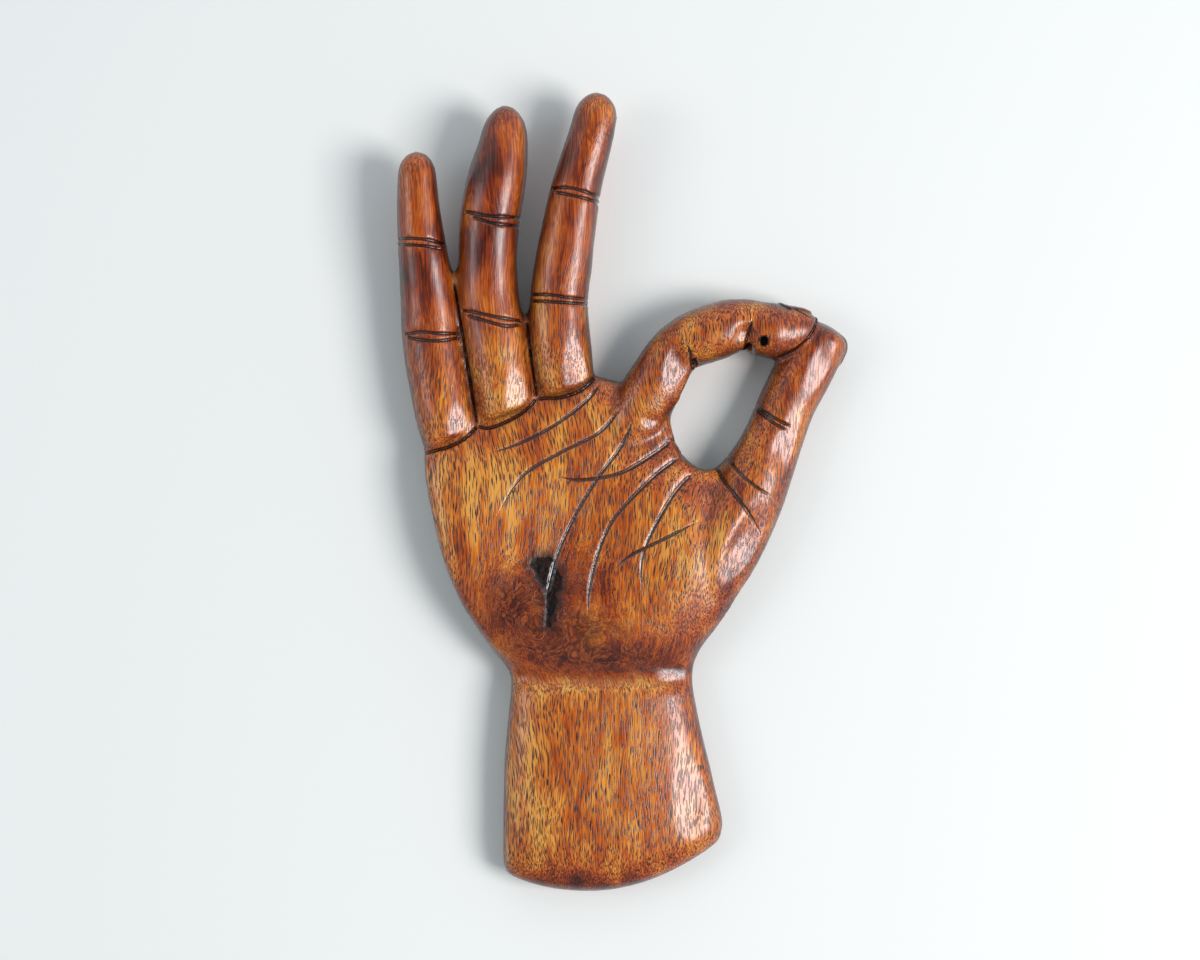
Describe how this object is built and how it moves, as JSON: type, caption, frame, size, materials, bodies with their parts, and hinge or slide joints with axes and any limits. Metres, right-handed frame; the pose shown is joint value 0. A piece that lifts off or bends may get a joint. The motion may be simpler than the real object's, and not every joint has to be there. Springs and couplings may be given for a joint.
{
  "type": "carved wooden hand ornament",
  "caption": "Carved hardwood right hand, palm forward, with thumb and index finger closed to a ring, as a wall ornament with a keyhole hanger let in at its back.",
  "frame": {"origin": "centre of the outline on the flat back", "axes": "+X towards the thumb side, +Y towards the fingertips, +Z out of the palm"},
  "size_m": [0.1692, 0.2995, 0.0279],
  "materials": {
    "varnished_wood": "satin varnish",
    "plated_steel": "yellow passivated zinc",
    "screw_steel": "yellow passivated zinc"
  },
  "bodies": {
    "root": {"carved_hand": "varnished_wood", "keyhole_plate": "plated_steel", "plate_screw_upper": "screw_steel", "plate_screw_lower": "screw_steel"}
  },
  "joints": []
}
